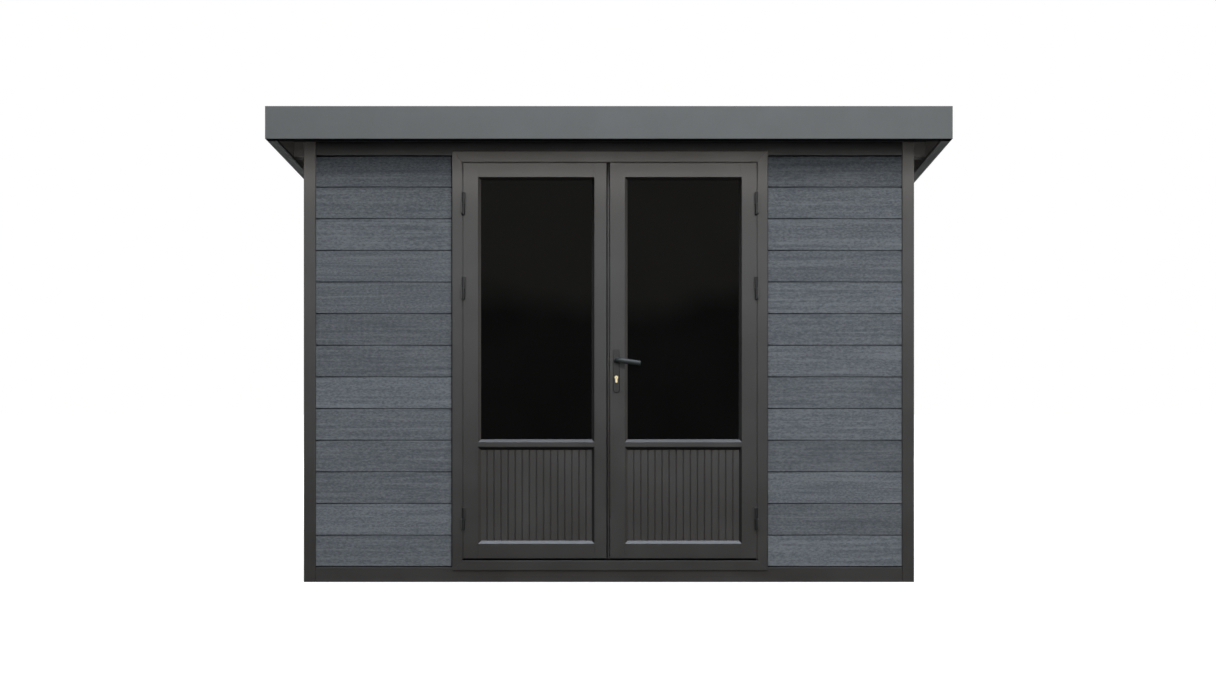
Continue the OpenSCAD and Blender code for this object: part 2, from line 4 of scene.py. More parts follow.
import bmesh
import bpy
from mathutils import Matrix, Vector

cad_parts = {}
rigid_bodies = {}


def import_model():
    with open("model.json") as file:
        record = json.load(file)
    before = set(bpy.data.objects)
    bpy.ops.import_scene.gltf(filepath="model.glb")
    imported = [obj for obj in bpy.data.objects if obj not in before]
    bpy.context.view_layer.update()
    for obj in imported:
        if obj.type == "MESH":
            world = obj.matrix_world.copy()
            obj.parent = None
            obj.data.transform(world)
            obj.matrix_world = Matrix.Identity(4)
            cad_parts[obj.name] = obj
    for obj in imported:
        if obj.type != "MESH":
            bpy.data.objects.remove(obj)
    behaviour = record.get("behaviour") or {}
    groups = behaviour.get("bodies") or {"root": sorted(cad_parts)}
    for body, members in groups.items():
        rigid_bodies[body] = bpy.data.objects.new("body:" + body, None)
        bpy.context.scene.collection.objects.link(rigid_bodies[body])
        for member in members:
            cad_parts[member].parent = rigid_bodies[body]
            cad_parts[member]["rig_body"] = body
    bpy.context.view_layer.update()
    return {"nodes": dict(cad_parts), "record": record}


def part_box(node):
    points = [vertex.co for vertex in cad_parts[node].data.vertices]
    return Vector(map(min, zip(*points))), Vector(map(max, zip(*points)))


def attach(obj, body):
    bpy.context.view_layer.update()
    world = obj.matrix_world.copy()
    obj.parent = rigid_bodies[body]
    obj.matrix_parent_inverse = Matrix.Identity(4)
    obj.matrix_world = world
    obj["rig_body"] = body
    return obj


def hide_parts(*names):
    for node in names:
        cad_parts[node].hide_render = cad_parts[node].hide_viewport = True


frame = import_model()
NODES = frame["nodes"]
JOINTS = frame["record"]["behaviour"]["joints"]
MM = 0.001
BOARD_H = 150 * MM


# ---- Material nodes ----

def new_material(name):
    """A material with a Principled shader: (material, node tree, shader)."""
    material = bpy.data.materials.new(name)
    material.use_nodes = True
    tree = material.node_tree
    return material, tree, tree.nodes["Principled BSDF"]


def empty_material(name):
    """A material without nodes, for the stage: (material, node tree)."""
    material, tree, _ = new_material(name)
    tree.nodes.clear()
    return material, tree


def plug(tree, made, inputs):
    """Sets a node's inputs, each to a value or to another node's output."""
    for key, value in inputs.items():
        if isinstance(value, bpy.types.NodeSocket):
            tree.links.new(value, made.inputs[key])
        else:
            made.inputs[key].default_value = value


def node(tree, kind, inputs=None, **settings):
    """A new node with its inputs set as in plug and its properties as in settings."""
    made = tree.nodes.new(kind)
    for key, value in settings.items():
        setattr(made, key, value)
    plug(tree, made, inputs or {})
    return made


def linear(*colour):
    """An sRGB colour in 0 to 255 as linear RGBA."""
    parts = [c / 255 for c in colour]
    return [p / 12.92 if p <= 0.04045 else ((p + 0.055) / 1.055) ** 2.4 for p in parts] + [1.0]


def object_place(tree):
    return node(tree, "ShaderNodeTexCoord").outputs["Object"]


def stretched(tree, vector, scale):
    """A vector times a scale along each axis."""
    return node(tree, "ShaderNodeMapping", {"Vector": vector, "Scale": scale}).outputs["Vector"]


def scaled(tree, colour, factor):
    inputs = {0: colour, "Scale": factor}
    return node(tree, "ShaderNodeVectorMath", inputs, operation="SCALE").outputs[0]


def board_lot(tree, spread):
    """Each board's own lot: (a value from 0 to 1, coordinates moved by up to spread)."""
    board = node(tree, "ShaderNodeAttribute", attribute_name="board").outputs["Fac"]
    lot = node(tree, "ShaderNodeTexWhiteNoise", {"W": board}, noise_dimensions="1D")
    inputs = {0: lot.outputs["Color"], 1: (spread, spread, spread)}
    shift = node(tree, "ShaderNodeVectorMath", inputs, operation="MULTIPLY").outputs[0]
    place = node(tree, "ShaderNodeVectorMath", {0: object_place(tree), 1: shift}).outputs[0]
    return lot.outputs["Value"], place


def noise(tree, vector, scale, detail=3.0, roughness=0.55, distortion=0.0):
    inputs = {"Vector": vector, "Scale": scale, "Detail": detail, "Roughness": roughness,
              "Distortion": distortion}
    return node(tree, "ShaderNodeTexNoise", inputs).outputs["Fac"]


def remap(tree, value, low, high, to_low=0.0, to_high=1.0):
    inputs = {"Value": value, "From Min": low, "From Max": high, "To Min": to_low,
              "To Max": to_high}
    return node(tree, "ShaderNodeMapRange", inputs).outputs["Result"]


def math_node(tree, operation, a, b):
    return node(tree, "ShaderNodeMath", {0: a, 1: b}, operation=operation).outputs[0]


def mix(tree, factor, a, b):
    """A mix of two colours, each a colour or an output."""
    return node(tree, "ShaderNodeMix", {0: factor, 6: a, 7: b}, data_type="RGBA").outputs[2]


def bump(tree, height, distance, strength):
    """The normal of an uneven surface. distance is what a height of 1 stands for, in metres."""
    inputs = {"Height": height, "Distance": distance, "Strength": strength}
    return node(tree, "ShaderNodeBump", inputs).outputs["Normal"]


def cladding(name, along):
    """Composite boards, each with a tone of its own, with brushed grain along X (0) or Y (1)."""
    material, tree, shader = new_material(name)
    lot, place = board_lot(tree, 7)

    def grain(length, height, detail, rough):
        scale = [1 / height] * 3
        scale[along] = 1 / length
        return noise(tree, stretched(tree, place, scale), 1.0, detail, rough)

    heather = grain(0.015, 0.0065, 4.0, 0.75)
    fibre = grain(0.06, 0.0022, 3.0, 0.6)
    streak = grain(0.42, 0.013, 3.0, 0.55)
    cloud = grain(0.5, 0.16, 2.0, 0.5)
    speck = remap(tree, heather, 0.36, 0.64)
    base = mix(tree, speck, linear(70, 75, 81), linear(103, 108, 113))
    base = mix(tree, remap(tree, fibre, 0.3, 0.7, 0.0, 0.35), base, linear(85, 89, 93))
    dark = remap(tree, streak, 0.52, 0.7, 0.0, 0.42)
    base = mix(tree, dark, base, linear(62, 67, 74))
    light = remap(tree, streak, 0.48, 0.28, 0.0, 0.38)
    base = mix(tree, light, base, linear(116, 121, 126))
    tone = remap(tree, lot, 0.0, 1.0, 0.78, 1.05)
    tone = math_node(tree, "MULTIPLY", tone, remap(tree, cloud, 0.3, 0.7, 0.95, 1.05))
    height = math_node(tree, "ADD", heather, math_node(tree, "MULTIPLY", fibre, 0.9))
    plug(tree, shader, {
        "Base Color": scaled(tree, base, tone),
        "Roughness": remap(tree, heather, 0.3, 0.7, 0.9, 0.72),
        "Specular IOR Level": 0.25,
        "Normal": bump(tree, height, 0.0011, 0.5),
    })
    return material


def coated(name, colour, rough, level, speckle=0.05):
    """Powder coated or painted metal: fine orange peel, faint dust and small changes of gloss."""
    material, tree, shader = new_material(name)
    place = object_place(tree)
    peel = noise(tree, place, 900.0, 2.0, 0.5)
    dust = noise(tree, place, 5.5, 5.0, 0.6, 0.3)
    fine = noise(tree, place, 140.0, 3.0, 0.6)
    low = [c * (1 - speckle) for c in colour[:3]] + [1]
    high = [min(1, c * (1 + speckle)) for c in colour[:3]] + [1]
    haze = [c * 1.16 + 0.002 for c in colour[:3]] + [1]
    base = mix(tree, remap(tree, fine, 0.35, 0.65), low, high)
    plug(tree, shader, {
        "Base Color": mix(tree, remap(tree, dust, 0.42, 0.7, 0.0, 0.55), base, haze),
        "Roughness": remap(tree, dust, 0.3, 0.7, rough - 0.03, rough + 0.05),
        "Specular IOR Level": level,
        "Normal": bump(tree, peel, 0.00012, 0.35),
    })
    return material


FRAME = coated("frame_coat", linear(39, 37, 35), 0.42, 0.77)
PANEL = coated("panel_coat", linear(43, 41, 39), 0.42, 0.77)
FASCIA = coated("fascia_coat", linear(67, 70, 70), 0.42, 0.4, speckle=0.02)
# A darker, duller copy of the fascia coat for the faces that look down on the front and back
# fascias: painted shade.
FASCIA_PAINTED_SHADE = coated("fascia_painted_shade_coat", linear(26, 27, 27), 0.8, 0.05)
# A lighter copy of the fascia coat for the faces that look down on the side fascias: painted light.
FASCIA_PAINTED_LIGHT = coated("fascia_painted_light_coat", linear(78, 81, 81), 0.42, 0.4)
ROOF = coated("roof_coat", linear(86, 89, 91), 0.5, 0.45)
BLACK = coated("black_coat", linear(20, 21, 21), 0.4, 0.5)
PLATE = coated("plate_coat", linear(38, 37, 36), 0.4, 0.48)
LEVER = coated("lever_coat", linear(33, 37, 36), 0.42, 0.36)


def rubber_material():
    """Black seal rubber with a little grime."""
    material, tree, shader = new_material("rubber")
    place = object_place(tree)
    grime = noise(tree, place, 60.0, 3.0)
    plug(tree, shader, {
        "Base Color": mix(tree, remap(tree, grime, 0.4, 0.7), linear(9, 9, 9), linear(16, 16, 16)),
        "Roughness": remap(tree, grime, 0.3, 0.7, 0.7, 0.85),
        "Specular IOR Level": 0.12,
        "Normal": bump(tree, noise(tree, place, 700.0, 2.0), 0.0002, 0.3),
    })
    return material


def glass_material():
    """Dark tinted double glazing that lets a little of the room through."""
    material, tree, shader = new_material("glazing")
    place = object_place(tree)
    film = noise(tree, place, 3.0, 4.0, 0.6)
    plug(tree, shader, {
        "Base Color": mix(tree, remap(tree, film, 0.35, 0.7), linear(3, 3, 3), linear(6, 6, 6)),
        "Roughness": remap(tree, film, 0.3, 0.75, 0.02, 0.06),
        "Specular IOR Level": 0.5,
        "Alpha": 0.94,
        "Normal": bump(tree, noise(tree, place, 1.6, 1.0), 0.003, 0.03),
    })
    return material


def brass_material():
    """Turned brass, a little tarnished."""
    material, tree, shader = new_material("lock_brass")
    place = object_place(tree)
    tarnish = noise(tree, place, 220.0, 4.0, 0.6)
    turned = noise(tree, stretched(tree, place, (1500.0, 60.0, 1500.0)), 1.0, 2.0)
    worn = remap(tree, tarnish, 0.45, 0.75, 0.0, 0.7)
    plug(tree, shader, {
        "Base Color": mix(tree, worn, linear(255, 238, 190), linear(240, 206, 130)),
        "Metallic": 0.2,
        "Roughness": remap(tree, tarnish, 0.3, 0.7, 0.2, 0.38),
        "Normal": bump(tree, turned, 0.0001, 0.3),
    })
    return material


def steel_material():
    """Steel of screws and latch with faint stains."""
    material, tree, shader = new_material("screw_steel")
    stain = noise(tree, object_place(tree), 160.0, 4.0, 0.6)
    worn = remap(tree, stain, 0.4, 0.7)
    plug(tree, shader, {
        "Base Color": mix(tree, worn, linear(168, 170, 172), linear(120, 121, 122)),
        "Metallic": 1.0,
        "Roughness": remap(tree, stain, 0.3, 0.7, 0.28, 0.45),
        "Normal": bump(tree, stain, 0.0001, 0.3),
    })
    return material


def floor_board_material():
    """Plain planed boards with grain along X and a tone for each board."""
    material, tree, shader = new_material("floor_boards")
    lot, place = board_lot(tree, 9)
    ring = noise(tree, stretched(tree, place, (1.3, 34.0, 34.0)), 1.0, 5.0, 0.6, 0.6)
    pore = noise(tree, stretched(tree, place, (14.0, 420.0, 420.0)), 1.0, 3.0, 0.6)
    early = remap(tree, ring, 0.35, 0.65)
    base = mix(tree, early, linear(134, 112, 84), linear(170, 147, 114))
    base = mix(tree, remap(tree, pore, 0.5, 0.72, 0.0, 0.5), base, linear(104, 84, 60))
    plug(tree, shader, {
        "Base Color": scaled(tree, base, remap(tree, lot, 0.0, 1.0, 0.84, 1.1)),
        "Roughness": remap(tree, pore, 0.3, 0.7, 0.55, 0.75),
        "Normal": bump(tree, math_node(tree, "ADD", ring, pore), 0.0006, 0.4),
    })
    return material


CLADDING_X = cladding("cladding_x", 0)
CLADDING_Y = cladding("cladding_y", 1)
RUBBER = rubber_material()
GLASS = glass_material()
BRASS = brass_material()
STEEL = steel_material()
FLOOR_BOARDS = floor_board_material()


# ---- Building pieces ----

def add_piece(name, bm, material, body, replaces=(), smooth=True):
    """Turns a bmesh into a piece that rides on a body."""
    mesh = bpy.data.meshes.new(name)
    bmesh.ops.recalc_face_normals(bm, faces=bm.faces)
    for face in bm.faces:
        face.smooth = smooth
    bm.to_mesh(mesh)
    bm.free()
    mesh.materials.append(material)
    piece = bpy.data.objects.new(name, mesh)
    bpy.context.scene.collection.objects.link(piece)
    if smooth:
        weighted = piece.modifiers.new("weighted", "WEIGHTED_NORMAL")
        weighted.weight = 100
    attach(piece, body)
    if replaces:
        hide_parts(*replaces)
    return piece


def round_edges(bm, width, segments=2):
    """Rounds every edge where the surface turns by more than 20 degrees."""
    limit = math.radians(20)
    edges = [e for e in bm.edges if e.is_manifold and e.calc_face_angle() > limit]
    bmesh.ops.bevel(bm, geom=edges, offset=width, offset_type="OFFSET", segments=segments,
                    profile=0.6, affect="EDGES", clamp_overlap=True)


def node_shape(name):
    """The mesh of a CAD node as a bmesh, with its points merged."""
    bm = bmesh.new()
    bm.from_mesh(NODES[name].data)
    bmesh.ops.remove_doubles(bm, verts=bm.verts, dist=1e-6)
    return bm


def merge_flat(bm):
    """Makes one face of the faces that lie in one plane."""
    bmesh.ops.dissolve_limit(bm, angle_limit=math.radians(0.5), verts=bm.verts, edges=bm.edges)


def refined(name, width, material, segments=2):
    """A piece with the shape of a CAD node, with small round edges."""
    bm = node_shape(name)
    merge_flat(bm)
    round_edges(bm, width, segments)
    return add_piece(name + "_finish", bm, material, NODES[name]["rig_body"], [name])


def append(whole, bm, board=None):
    """Adds a bmesh to another and frees it. board is the number that gives a board its tone."""
    bmesh.ops.recalc_face_normals(bm, faces=bm.faces)
    if board is not None:
        layer = bm.faces.layers.float.new("board")
        for face in bm.faces:
            face[layer] = board
    spare = bpy.data.meshes.new("spare")
    bm.to_mesh(spare)
    bm.free()
    whole.from_mesh(spare)
    bpy.data.meshes.remove(spare)


def cut_and_cap(bm, point, normal):
    """Cuts a closed solid with a plane, drops what lies beyond it and closes the cut."""
    geom = bm.verts[:] + bm.edges[:] + bm.faces[:]
    cut = bmesh.ops.bisect_plane(bm, geom=geom, plane_co=point, plane_no=normal, clear_outer=True)
    edges = [e for e in cut["geom_cut"] if isinstance(e, bmesh.types.BMEdge)]
    if edges:
        bmesh.ops.contextual_create(bm, geom=edges)


def circle(radius, steps):
    turn = [2 * math.pi * i / steps for i in range(steps)]
    return [(radius * math.cos(a), radius * math.sin(a)) for a in turn]


def arc(cx, cy, radius, start, end, steps):
    """Points on an arc, angles in degrees."""
    turn = [math.radians(start + (end - start) * i / steps) for i in range(steps + 1)]
    return [(cx + radius * math.cos(a), cy + radius * math.sin(a)) for a in turn]


def skin(bm, a, b):
    """Faces between two closed rings of equally many points."""
    for i in range(len(a)):
        j = (i + 1) % len(a)
        bm.faces.new([a[i], a[j], b[j], b[i]])


def prism(bm, outline, start, end, place):
    """A closed prism over an outline of (u, v). place(u, v, t) gives a point at t, start or end."""
    rings = [[bm.verts.new(place(u, v, t)) for u, v in outline] for t in (start, end)]
    skin(bm, *rings)
    for ring in rings:
        bm.faces.new(ring)
    bmesh.ops.recalc_face_normals(bm, faces=bm.faces)


def lathe(bm, profile, centre, axis="Z", steps=32):
    """A closed turned solid. profile is a list of (radius, height) from one end to the other, and
    the height counts along Z or towards the front along Y."""
    rows = []
    for radius, height in profile:
        ring = circle(radius, steps) if radius else [(0.0, 0.0)]
        if axis == "Z":
            points = [(centre[0] + a, centre[1] + b, centre[2] + height) for a, b in ring]
        else:
            points = [(centre[0] + a, centre[1] - height, centre[2] + b) for a, b in ring]
        rows.append([bm.verts.new(p) for p in points])
    for low, high in zip(rows, rows[1:]):
        for i in range(steps):
            j = (i + 1) % steps
            corners = [low[i % len(low)], low[j % len(low)]]
            corners += [high[j % len(high)], high[i % len(high)]]
            unique = list(dict.fromkeys(corners))
            if len(unique) > 2:
                bm.faces.new(unique)
    for row in (rows[0], rows[-1]):
        if len(row) > 1:
            bm.faces.new(row)


def ring_lathe(bm, loop, centre, steps=40):
    """A closed ring about the Y axis. loop is a closed list of (radius, depth)."""
    rings = []
    for radius, depth in loop:
        rings.append([bm.verts.new((centre[0] + u, centre[1] - depth, centre[2] + v))
                      for u, v in circle(radius, steps)])
    for a, b in zip(rings, rings[1:] + rings[:1]):
        skin(bm, a, b)


def frame_sweep(bm, x0, x1, z0, z1, profile):
    """A mitred closed frame round a rectangle. profile is a closed list of (inward, y)."""
    rings = []
    for inward, y in profile:
        corners = [(x0 + inward, z0 + inward), (x1 - inward, z0 + inward),
                   (x1 - inward, z1 - inward), (x0 + inward, z1 - inward)]
        rings.append([bm.verts.new((x, y, z)) for x, z in corners])
    for a, b in zip(rings, rings[1:] + rings[:1]):
        skin(bm, a, b)


def block(bm, low, high, width=0.5 * MM):
    """Adds a box between two corners, its edges rounded by a width."""
    fresh = bmesh.new()
    outline = [(low[0], low[1]), (high[0], low[1]), (high[0], high[1]), (low[0], high[1])]
    prism(fresh, outline, low[2], high[2], lambda u, v, t: (u, v, t))
    round_edges(fresh, width)
    append(bm, fresh)


# ---- Cladding ----

def board_outline(thick, high, foot_gap, top_gap):
    """(depth, height) outline of a board with a drip lip at the foot and a rounded head. The face
    starts foot_gap above the foot and stops top_gap below the head's end, which leaves grooves."""
    lip, r, deep, ease = 2.2 * MM, 3.2 * MM, 7.0 * MM, 1.5 * MM
    foot = 17.0 * MM if foot_gap > 3 * MM else deep
    points = [(thick, 0.0), (foot, 0.0), (foot, foot_gap), (lip, foot_gap)]
    points += arc(lip, foot_gap + lip, lip, 270, 180, 3)[1:]
    points += arc(r, high - top_gap - r, r, 180, 90, 4)
    points += [(deep, high - top_gap - 0.3 * MM), (deep, high), (thick - ease, high),
               (thick, high - ease)]
    return points


def board_wall(name, axis, outward, first, top=None):
    """Boards from the foot of a wall up. axis is the axis that they run along, outward the sign of
    the outer face on the other one, first the number of the first board and top a (point, normal)
    plane that cuts them."""
    low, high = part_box(name)
    thick = (high - low)[1 - axis]
    face = high[1 - axis] if outward > 0 else low[1 - axis]
    count = math.ceil((high.z - low.z) / BOARD_H - 0.001)
    joint, end_gap = 2.0 * MM, 4.5 * MM
    whole = bmesh.new()
    whole.faces.layers.float.new("board")
    for i in range(count):
        foot = low.z + i * BOARD_H
        last = i == count - 1 and top is None
        size = high.z - foot if last else BOARD_H
        outline = board_outline(thick, size, joint if i else end_gap, end_gap if last else 0.0)

        def place(depth, height, t):
            point = [0.0, 0.0, foot + height]
            point[axis] = t
            point[1 - axis] = face - outward * depth
            return point

        bm = bmesh.new()
        prism(bm, outline, low[axis], high[axis], place)
        if top:
            cut_and_cap(bm, top[0], top[1])
        append(whole, bm, first + i)
    material = CLADDING_Y if axis else CLADDING_X
    add_piece(name + "_boards", whole, material, "shed", [name])


def roof_plane():
    """The plane along the foot of the side top rails: (point, normal, direction to the back)."""
    points = [v.co for v in NODES["top_rails_side"].data.vertices]
    ends = []
    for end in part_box("top_rails_side"):
        foot = min(p.z for p in points if abs(p.y - end.y) < 0.1 * MM)
        ends.append(Vector((0, end.y, foot)))
    slope = (ends[1] - ends[0]).normalized()
    return ends[0], Vector((0, -slope.z, slope.y)), slope


TOP_POINT, TOP_NORMAL, SLOPE = roof_plane()
# The number of a wall's first board settles the tones and the grain of its boards.
board_wall("wall_front_left", 0, -1, 5819)
board_wall("wall_front_right", 0, -1, 5078)
board_wall("wall_back", 0, 1, 51)
board_wall("wall_left", 1, -1, 71, (TOP_POINT, TOP_NORMAL))
board_wall("wall_right", 1, 1, 91, (TOP_POINT, TOP_NORMAL))


# ---- Frame bars ----

for name in ("base_rail_front", "base_rail_back", "base_rails_side", "top_rail_front",
             "top_rail_back", "top_rails_side", "outriggers", "roof_rails_side", "roof_rails_cross",
             "floor_joists", "post_front_left", "post_front_right", "post_back_left",
             "post_back_right", "door_jambs", "door_head", "door_sill"):
    refined(name, 0.9 * MM, FRAME)
for name in ("left_leaf_stiles", "left_leaf_rails", "right_leaf_stiles", "right_leaf_rails"):
    refined(name, 0.8 * MM, FRAME)
for name in ("left_leaf_beads", "right_leaf_beads"):
    refined(name, 0.4 * MM, FRAME, 1)
for name in ("left_leaf_panel", "right_leaf_panel"):
    refined(name, 0.4 * MM, PANEL, 1)
for name in ("left_leaf_glass", "right_leaf_glass"):
    NODES[name].data.materials.clear()
    NODES[name].data.materials.append(GLASS)


def meeting_profile():
    """The strip on the left leaf: a lip over the joint with a groove beside the stile."""
    low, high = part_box("meeting_strip")
    groove, deep, r = 5 * MM, 10 * MM, 0.8 * MM
    outline = [(low.x, high.y), (low.x, low.y + deep), (low.x + groove, low.y + deep)]
    outline += arc(low.x + groove + r, low.y + r, r, 180, 270, 4)
    outline += arc(high.x - r, low.y + r, r, 270, 360, 4)
    outline += [(high.x, high.y)]
    bm = bmesh.new()
    prism(bm, outline, low.z, high.z, lambda u, v, t: (u, v, t))
    add_piece("meeting_lip", bm, FRAME, "left_door", ["meeting_strip"])


meeting_profile()


# ---- Floor ----

def floor_planks():
    """Planks along X cut from the floor's own shape, with open joints."""
    low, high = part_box("floor")
    count, joint, number = 19, 2.5 * MM, 200
    pitch = (high.y - low.y) / count
    whole = bmesh.new()
    whole.faces.layers.float.new("board")
    for i in range(count):
        bm = node_shape("floor")
        first = low.y + i * pitch + (joint / 2 if i else 0)
        last = low.y + (i + 1) * pitch - (joint / 2 if i < count - 1 else 0)
        for y, side in ((first, -1), (last, 1)):
            cut_and_cap(bm, (0, y, 0), (0, side, 0))
        merge_flat(bm)
        round_edges(bm, 1.2 * MM)
        append(whole, bm, number + i)
    add_piece("floor_planks", whole, FLOOR_BOARDS, "shed", ["floor"])


floor_planks()


# ---- Roof ----

# Faces that look down get a copy of the fascia coat: painted shade on the front and back fascias,
# painted light on the side fascias.
FACES_DOWN = -0.985
for name, below in (("fascia_front", FASCIA_PAINTED_SHADE), ("fascia_back", FASCIA_PAINTED_SHADE), ("fascia_left", FASCIA_PAINTED_LIGHT),
                    ("fascia_right", FASCIA_PAINTED_LIGHT)):
    piece = refined(name, 0.8 * MM, FASCIA, 3)
    piece.data.materials.append(below)
    for face in piece.data.polygons:
        if face.normal.z < FACES_DOWN:
            face.material_index = 1
refined("roof_deck", 2.5 * MM, ROOF)


def roof_screws():
    """Hexagon screws on sealing washers, on each rib over each cross rail and purlin."""
    fall = SLOPE.z / SLOPE.y
    top = max(v.co.z - fall * v.co.y for v in NODES["roof_deck"].data.vertices)
    low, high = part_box("roof_deck")
    middle, rib_pitch = (low.x + high.x) / 2, 250 * MM
    turn = Vector((0, 0, 1)).rotation_difference(TOP_NORMAL)
    heads, seals = bmesh.new(), bmesh.new()
    head = [(0, 1.2), (6.8, 1.2), (7.0, 2.0), (4.6, 2.6), (4.6, 6.2), (3.9, 6.9), (0, 6.9)]
    seal = [(0, -0.5), (7.5, -0.5), (8.0, 0.6), (7.6, 1.6), (0, 1.6)]
    for i in range(-5, 6):
        for y in cross_rail_rows():
            place = Vector((middle + i * rib_pitch, y, top + fall * y))
            for bm, profile, steps in ((seals, seal, 24), (heads, head, 6)):
                fresh = bmesh.new()
                lathe(fresh, [(r * MM, h * MM) for r, h in profile], (0, 0, 0), steps=steps)
                for v in fresh.verts:
                    v.co = turn @ v.co + place
                append(bm, fresh)
    add_piece("roof_screw_heads", heads, STEEL, "shed", smooth=False)
    add_piece("roof_screw_seals", seals, RUBBER, "shed")


def cross_rail_rows():
    """The middle of each cross rail and purlin under the roof, along Y."""
    ys = sorted({round(v.co.y, 4) for v in NODES["roof_rails_cross"].data.vertices})
    return [(a + b) / 2 for a, b in zip(ys[::2], ys[1::2])]


roof_screws()


# ---- Seals ----

def glass_seals(side):
    """Black seals between glass and beads, outside and inside."""
    bm = bmesh.new()
    low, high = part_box(side + "_leaf_glass")
    bead = 13 * MM
    for y, out in ((low.y, -1), (high.y, 1)):
        top = y + out * 0.6 * MM
        profile = [(-1 * MM, y), (-1 * MM, top), (0.4 * MM, top), (0.8 * MM, y)]
        frame_sweep(bm, low.x + bead, high.x - bead, low.z + bead, high.z - bead, profile)
    add_piece(side + "_glass_seals", bm, RUBBER, side + "_door")


glass_seals("left")
glass_seals("right")


def stop_seals():
    """Seals on the stops that the leaves close against."""
    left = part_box("left_leaf_stiles")
    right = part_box("right_leaf_stiles")
    shape = [(5, 5), (5, 2.2), (6.5, 1.2), (8.5, 1.2), (10, 2.2), (10, 5)]
    profile = [(inward * MM, left[1].y + behind * MM) for inward, behind in shape]
    bm = bmesh.new()
    frame_sweep(bm, left[0].x, right[1].x, left[0].z, left[1].z, profile)
    add_piece("stop_seals", bm, RUBBER, "shed")


stop_seals()


def jamb_seals():
    """Fins beside the hinge stiles and over the leaves."""
    left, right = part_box("left_leaf_stiles"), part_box("right_leaf_stiles")
    face, clear, gap, thick = left[0].y, 0.8 * MM, 5 * MM, 2.5 * MM
    x0, x1, foot, top = left[0].x - gap, right[1].x + gap, left[0].z, left[1].z
    bm = bmesh.new()
    for start, end in ((x0, left[0].x - clear), (right[1].x + clear, x1)):
        block(bm, (start, face + 3 * MM, foot), (end, face + 3 * MM + thick, top))
    over = face + 1.2 * MM
    block(bm, (x0, over, top + clear), (x1, over + thick, top + gap))
    add_piece("jamb_seals", bm, FRAME, "shed")


def seal(name, material, body, low, high, before, after):
    """A fin round the box from low to high, wider by before and after in mm along X, Y and Z."""
    bm = bmesh.new()
    block(bm, low - Vector(before) * MM, high + Vector(after) * MM)
    add_piece(name, bm, material, body)


def gap_fins_and_painted_shadows():
    """Fins over the door head, on the sill, in the joint of the leaves and along their rails.
    The black fins paint shadow lines at the head, the leaf feet and the rails; the black seal on
    the sill is a seal that also paints the shadow under the leaves.
    """
    head, rail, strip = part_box("door_head"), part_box("top_rail_front"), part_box("meeting_strip")
    left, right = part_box("left_leaf_stiles"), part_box("right_leaf_stiles")
    face, sill_gap = left[0].y, 9
    # A black strip on top of the door head: painted shadow line under the top rail.
    seal("head_painted_shadow", RUBBER, "shed", Vector((head[0].x, rail[0].y, head[1].z)),
         Vector((head[1].x, rail[0].y, head[1].z)), (-1, 3, 1), (-1, 1, 3.5))
    # A black seal on the sill that also paints the shadow under the leaves.
    seal("sill_strip_and_painted_shadow", RUBBER, "shed", Vector((left[0].x, face, left[0].z)),
         Vector((right[1].x, face, left[0].z)), (-1, -3, sill_gap), (-1, 37, 1.2 - sill_gap))
    seal("meeting_seal", FRAME, "left_door", Vector((strip[1].x, strip[0].y, strip[0].z)),
         Vector((strip[1].x, strip[0].y, strip[1].z)), (0, -2, 0), (4.4, 4, 0))
    for side, stiles in (("left", left), ("right", right)):
        body, panel = side + "_door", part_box(side + "_leaf_panel")
        # A black strip along the foot of each leaf: painted shadow line under the leaf.
        seal(side + "_foot_painted_shadow", RUBBER, body, Vector((stiles[0].x, face, stiles[0].z)),
             Vector((stiles[1].x, face, stiles[0].z)), (-1, 0.5, 0.5), (-1, 4, 3.2))
        # A black strip along the top of each panel, under the mid rail: painted shadow line.
        seal(side + "_rail_painted_shadow", RUBBER, body, Vector((panel[0].x, face, panel[1].z)),
             Vector((panel[1].x, face, panel[1].z)), (1, 0.4, 0.4), (1, 3, 3))


jamb_seals()
gap_fins_and_painted_shadows()


def painted_wall_shadows():
    """Black strips that paint the shadow lines round the front boards: along the base rail and
    beside the door frame.
    """
    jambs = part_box("door_jambs")
    bm = bmesh.new()
    for name, beside, wide in (("wall_front_left", jambs[0].x - 6.4 * MM, 3.8 * MM),
                               ("wall_front_right", jambs[1].x + 1 * MM, 2.6 * MM)):
        low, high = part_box(name)
        x0, x1 = (low.x, jambs[0].x + 1 * MM) if low.x < 0 else (jambs[1].x - 1 * MM, high.x)
        back = low.y + 6 * MM
        block(bm, (x0, low.y - 7.6 * MM, low.z - 0.5 * MM), (x1, back, low.z + 4.6 * MM))
        block(bm, (beside, low.y - 1 * MM, low.z + 4 * MM), (beside + wide, back, high.z + 1 * MM))
    add_piece("painted_wall_shadows", bm, RUBBER, "shed")


painted_wall_shadows()


# ---- Hinges ----

def hinge_places():
    """(side, x, y, z) of the middle of each hinge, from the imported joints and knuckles. The foot
    of a hinge has no other level of its node close below it."""
    half, close = 53 * MM, 120 * MM
    levels = sorted({round(v.co.z, 3) for v in NODES["frame_hinges"].data.vertices})
    feet = [z for z in levels if not any(0 < z - other < close for other in levels)]
    left, right = [joint["pos_m"] for joint in JOINTS[:2]]
    return [(side, axis[0], axis[1], z + half)
            for side, axis in ((-1, left), (1, right)) for z in feet]


